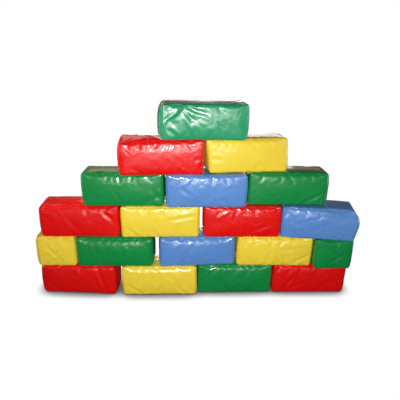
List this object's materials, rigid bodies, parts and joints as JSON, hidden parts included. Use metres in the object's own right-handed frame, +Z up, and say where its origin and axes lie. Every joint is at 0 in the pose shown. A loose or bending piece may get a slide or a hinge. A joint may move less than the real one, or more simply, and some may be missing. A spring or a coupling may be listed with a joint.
{
  "type": "soft building block wall",
  "caption": "Stepped wall of soft foam building blocks in glossy vinyl covers, stacked loose, each block free to be pulled out and each cover closed by a zip.",
  "frame": {"origin": "on the floor, under the middle of the stack", "axes": "+X along the wall to the viewer's right, +Y away from the viewer, +Z up"},
  "size_m": [1.961, 0.292, 1.2015],
  "materials": {
    "vinyl_red": "gloss",
    "vinyl_yellow": "gloss",
    "vinyl_green": "gloss",
    "vinyl_blue": "gloss",
    "foam": "matte",
    "slider_metal": "satin"
  },
  "bodies": {
    "block_1a": {"cover_1a": "vinyl_red", "core_1a": "foam"},
    "slider_1a": {"zip_slider_1a": "slider_metal"},
    "block_1b": {"cover_1b": "vinyl_yellow", "core_1b": "foam"},
    "slider_1b": {"zip_slider_1b": "slider_metal"},
    "block_1c": {"cover_1c": "vinyl_green", "core_1c": "foam"},
    "slider_1c": {"zip_slider_1c": "slider_metal"},
    "block_1d": {"cover_1d": "vinyl_red", "core_1d": "foam"},
    "slider_1d": {"zip_slider_1d": "slider_metal"},
    "block_2a": {"cover_2a": "vinyl_yellow", "core_2a": "foam"},
    "slider_2a": {"zip_slider_2a": "slider_metal"},
    "block_2b": {"cover_2b": "vinyl_green", "core_2b": "foam"},
    "slider_2b": {"zip_slider_2b": "slider_metal"},
    "block_2c": {"cover_2c": "vinyl_blue", "core_2c": "foam"},
    "slider_2c": {"zip_slider_2c": "slider_metal"},
    "block_2d": {"cover_2d": "vinyl_yellow", "core_2d": "foam"},
    "slider_2d": {"zip_slider_2d": "slider_metal"},
    "block_2e": {"cover_2e": "vinyl_green", "core_2e": "foam"},
    "slider_2e": {"zip_slider_2e": "slider_metal"},
    "block_3a": {"cover_3a": "vinyl_red", "core_3a": "foam"},
    "slider_3a": {"zip_slider_3a": "slider_metal"},
    "block_3b": {"cover_3b": "vinyl_yellow", "core_3b": "foam"},
    "slider_3b": {"zip_slider_3b": "slider_metal"},
    "block_3c": {"cover_3c": "vinyl_red", "core_3c": "foam"},
    "slider_3c": {"zip_slider_3c": "slider_metal"},
    "block_3d": {"cover_3d": "vinyl_blue", "core_3d": "foam"},
    "slider_3d": {"zip_slider_3d": "slider_metal"},
    "block_4a": {"cover_4a": "vinyl_green", "core_4a": "foam"},
    "slider_4a": {"zip_slider_4a": "slider_metal"},
    "block_4b": {"cover_4b": "vinyl_blue", "core_4b": "foam"},
    "slider_4b": {"zip_slider_4b": "slider_metal"},
    "block_4c": {"cover_4c": "vinyl_green", "core_4c": "foam"},
    "slider_4c": {"zip_slider_4c": "slider_metal"},
    "block_5a": {"cover_5a": "vinyl_red", "core_5a": "foam"},
    "slider_5a": {"zip_slider_5a": "slider_metal"},
    "block_5b": {"cover_5b": "vinyl_yellow", "core_5b": "foam"},
    "slider_5b": {"zip_slider_5b": "slider_metal"},
    "block_6a": {"cover_6a": "vinyl_green", "core_6a": "foam"},
    "slider_6a": {"zip_slider_6a": "slider_metal"}
  },
  "joints": [
    {"name": "pull_1a", "type": "slide", "parent": "block_1b", "child": "block_1a", "axis": [0, -1, 0], "range_m": [0, 0.26]},
    {"name": "zip_1a", "type": "slide", "parent": "block_1a", "child": "slider_1a", "axis": [-0.9976, 0.0698, 0], "range_m": [0, 0.333]},
    {"name": "zip_1b", "type": "slide", "parent": "block_1b", "child": "slider_1b", "axis": [-1, -0.0087, 0], "range_m": [0, 0.333]},
    {"name": "pull_1c", "type": "slide", "parent": "block_1b", "child": "block_1c", "axis": [0, -1, 0], "range_m": [0, 0.26]},
    {"name": "zip_1c", "type": "slide", "parent": "block_1c", "child": "slider_1c", "axis": [-1, -0.0087, 0], "range_m": [0, 0.333]},
    {"name": "pull_1d", "type": "slide", "parent": "block_1b", "child": "block_1d", "axis": [0, -1, 0], "range_m": [0, 0.26]},
    {"name": "zip_1d", "type": "slide", "parent": "block_1d", "child": "slider_1d", "axis": [-1, -0.0087, 0], "range_m": [0, 0.333]},
    {"name": "pull_2a", "type": "slide", "parent": "block_1b", "child": "block_2a", "axis": [0, -1, 0], "range_m": [0, 0.26]},
    {"name": "zip_2a", "type": "slide", "parent": "block_2a", "child": "slider_2a", "axis": [-1, -0.0087, 0], "range_m": [0, 0.096]},
    {"name": "pull_2b", "type": "slide", "parent": "block_1b", "child": "block_2b", "axis": [0, -1, 0], "range_m": [0, 0.26]},
    {"name": "zip_2b", "type": "slide", "parent": "block_2b", "child": "slider_2b", "axis": [-0.9998, 0.0175, 0], "range_m": [0, 0.333]},
    {"name": "pull_2c", "type": "slide", "parent": "block_1b", "child": "block_2c", "axis": [0, -1, 0], "range_m": [0, 0.26]},
    {"name": "zip_2c", "type": "slide", "parent": "block_2c", "child": "slider_2c", "axis": [-0.9969, -0.0785, 0], "range_m": [0, 0.333]},
    {"name": "pull_2d", "type": "slide", "parent": "block_1b", "child": "block_2d", "axis": [0, -1, 0], "range_m": [0, 0.26]},
    {"name": "zip_2d", "type": "slide", "parent": "block_2d", "child": "slider_2d", "axis": [-1, 0.0087, 0], "range_m": [0, 0.333]},
    {"name": "pull_2e", "type": "slide", "parent": "block_1b", "child": "block_2e", "axis": [0, -1, 0], "range_m": [0, 0.26]},
    {"name": "zip_2e", "type": "slide", "parent": "block_2e", "child": "slider_2e", "axis": [-1, 0.0087, 0], "range_m": [0, 0.096]},
    {"name": "pull_3a", "type": "slide", "parent": "block_1b", "child": "block_3a", "axis": [0, -1, 0], "range_m": [0, 0.26]},
    {"name": "zip_3a", "type": "slide", "parent": "block_3a", "child": "slider_3a", "axis": [-1, 0, 0], "range_m": [0, 0.333]},
    {"name": "pull_3b", "type": "slide", "parent": "block_1b", "child": "block_3b", "axis": [0, -1, 0], "range_m": [0, 0.26]},
    {"name": "zip_3b", "type": "slide", "parent": "block_3b", "child": "slider_3b", "axis": [-0.9997, -0.0262, 0], "range_m": [0, 0.333]},
    {"name": "pull_3c", "type": "slide", "parent": "block_1b", "child": "block_3c", "axis": [0, -1, 0], "range_m": [0, 0.26]},
    {"name": "zip_3c", "type": "slide", "parent": "block_3c", "child": "slider_3c", "axis": [-1, 0, 0], "range_m": [0, 0.333]},
    {"name": "pull_3d", "type": "slide", "parent": "block_1b", "child": "block_3d", "axis": [0, -1, 0], "range_m": [0, 0.26]},
    {"name": "zip_3d", "type": "slide", "parent": "block_3d", "child": "slider_3d", "axis": [-0.9903, 0.1392, 0], "range_m": [0, 0.333]},
    {"name": "pull_4a", "type": "slide", "parent": "block_1b", "child": "block_4a", "axis": [0, -1, 0], "range_m": [0, 0.26]},
    {"name": "zip_4a", "type": "slide", "parent": "block_4a", "child": "slider_4a", "axis": [-1, 0, 0], "range_m": [0, 0.333]},
    {"name": "pull_4b", "type": "slide", "parent": "block_1b", "child": "block_4b", "axis": [0, -1, 0], "range_m": [0, 0.26]},
    {"name": "zip_4b", "type": "slide", "parent": "block_4b", "child": "slider_4b", "axis": [-0.9998, -0.0175, 0], "range_m": [0, 0.333]},
    {"name": "pull_4c", "type": "slide", "parent": "block_1b", "child": "block_4c", "axis": [0, -1, 0], "range_m": [0, 0.26]},
    {"name": "zip_4c", "type": "slide", "parent": "block_4c", "child": "slider_4c", "axis": [-1, 0.0087, 0], "range_m": [0, 0.333]},
    {"name": "pull_5a", "type": "slide", "parent": "block_1b", "child": "block_5a", "axis": [0, -1, 0], "range_m": [0, 0.26]},
    {"name": "zip_5a", "type": "slide", "parent": "block_5a", "child": "slider_5a", "axis": [-0.9981, -0.061, 0], "range_m": [0, 0.333]},
    {"name": "pull_5b", "type": "slide", "parent": "block_1b", "child": "block_5b", "axis": [0, -1, 0], "range_m": [0, 0.26]},
    {"name": "zip_5b", "type": "slide", "parent": "block_5b", "child": "slider_5b", "axis": [-0.9936, -0.1132, 0], "range_m": [0, 0.333]},
    {"name": "pull_6a", "type": "slide", "parent": "block_1b", "child": "block_6a", "axis": [0, -1, 0], "range_m": [0, 0.26]},
    {"name": "zip_6a", "type": "slide", "parent": "block_6a", "child": "slider_6a", "axis": [-1, -0.0087, 0], "range_m": [0, 0.333]}
  ]
}
